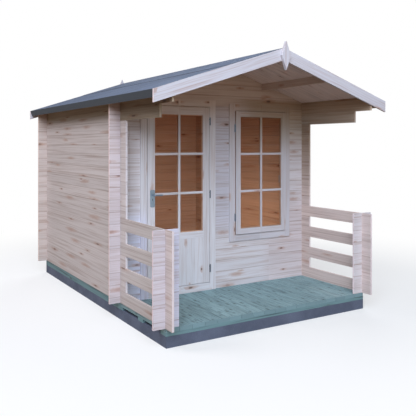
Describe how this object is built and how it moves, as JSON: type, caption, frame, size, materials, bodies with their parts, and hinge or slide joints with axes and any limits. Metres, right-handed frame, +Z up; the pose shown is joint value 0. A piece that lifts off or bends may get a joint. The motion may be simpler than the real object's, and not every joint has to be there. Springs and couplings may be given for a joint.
{
  "type": "garden log cabin with veranda",
  "caption": "Small garden log cabin with interlocking log walls, a railed veranda under a felted gable roof, a half-glazed door that opens outward and a tall window.",
  "frame": {"origin": "on the ground under the middle of the roof, at the bottom centre of the whole cabin", "axes": "+Z up, +Y towards the back wall, so the front with the door faces -Y, and +X to the right seen from the front"},
  "size_m": [2.578, 3.652, 2.5608],
  "materials": {
    "slab_concrete": "dark grey cast slab",
    "treated_timber": "green pressure-treated softwood",
    "floor_pine": "bare planed pine",
    "log_pine": "bare planed softwood logs",
    "roof_pine": "bare planed softwood",
    "trim_pine": "planed softwood",
    "joinery_pine": "planed softwood",
    "roofing_felt": "mineral-faced bitumen felt",
    "clear_glass": "clear",
    "hardware_steel": "satin"
  },
  "bodies": {
    "cabin": {"base_slab": "slab_concrete", "cross_bearers": "treated_timber", "side_bearers": "treated_timber", "sill_beams": "treated_timber", "veranda_deck": "treated_timber", "floor_joists": "treated_timber", "cabin_floor": "floor_pine", "left_wall_logs": "log_pine", "right_wall_logs": "log_pine", "left_rail_logs": "log_pine", "right_rail_logs": "log_pine", "left_eaves_logs": "log_pine", "right_eaves_logs": "log_pine", "left_post_logs": "log_pine", "right_post_logs": "log_pine", "post_spacers": "log_pine", "front_wall_logs": "log_pine", "back_wall_logs": "log_pine", "front_gable": "log_pine", "back_gable": "log_pine", "ridge_purlin": "roof_pine", "side_purlins": "roof_pine", "left_roof_boards": "roof_pine", "right_roof_boards": "roof_pine", "eaves_fascias": "roof_pine", "front_bargeboards": "trim_pine", "back_bargeboards": "trim_pine", "front_finial": "trim_pine", "back_finial": "trim_pine", "door_frame": "joinery_pine", "window_frame": "joinery_pine", "window_sash": "joinery_pine", "left_roof_felt": "roofing_felt", "right_roof_felt": "roofing_felt", "ridge_felt": "roofing_felt", "window_glass": "clear_glass", "door_hinge_pins": "hardware_steel", "window_hinges": "hardware_steel", "window_catch": "hardware_steel"},
    "door": {"door_leaf": "joinery_pine", "door_panel": "joinery_pine", "door_glass": "clear_glass", "door_hinge_barrels": "hardware_steel", "door_handle_plates": "hardware_steel"},
    "lever": {"door_levers": "hardware_steel"}
  },
  "joints": [
    {"name": "door_swing", "type": "hinge", "parent": "cabin", "child": "door", "pos_m": [-0.1395, -0.7715, 1.1], "axis": [0, 0, 1], "range_deg": [0, 165]},
    {"name": "handle_turn", "type": "hinge", "parent": "door", "child": "lever", "pos_m": [-0.791, -0.745, 1.156], "axis": [0, 1, 0], "range_deg": [0, 40], "stiffness_Nm_per_rad": 1.5, "springref_deg": -11.46}
  ]
}
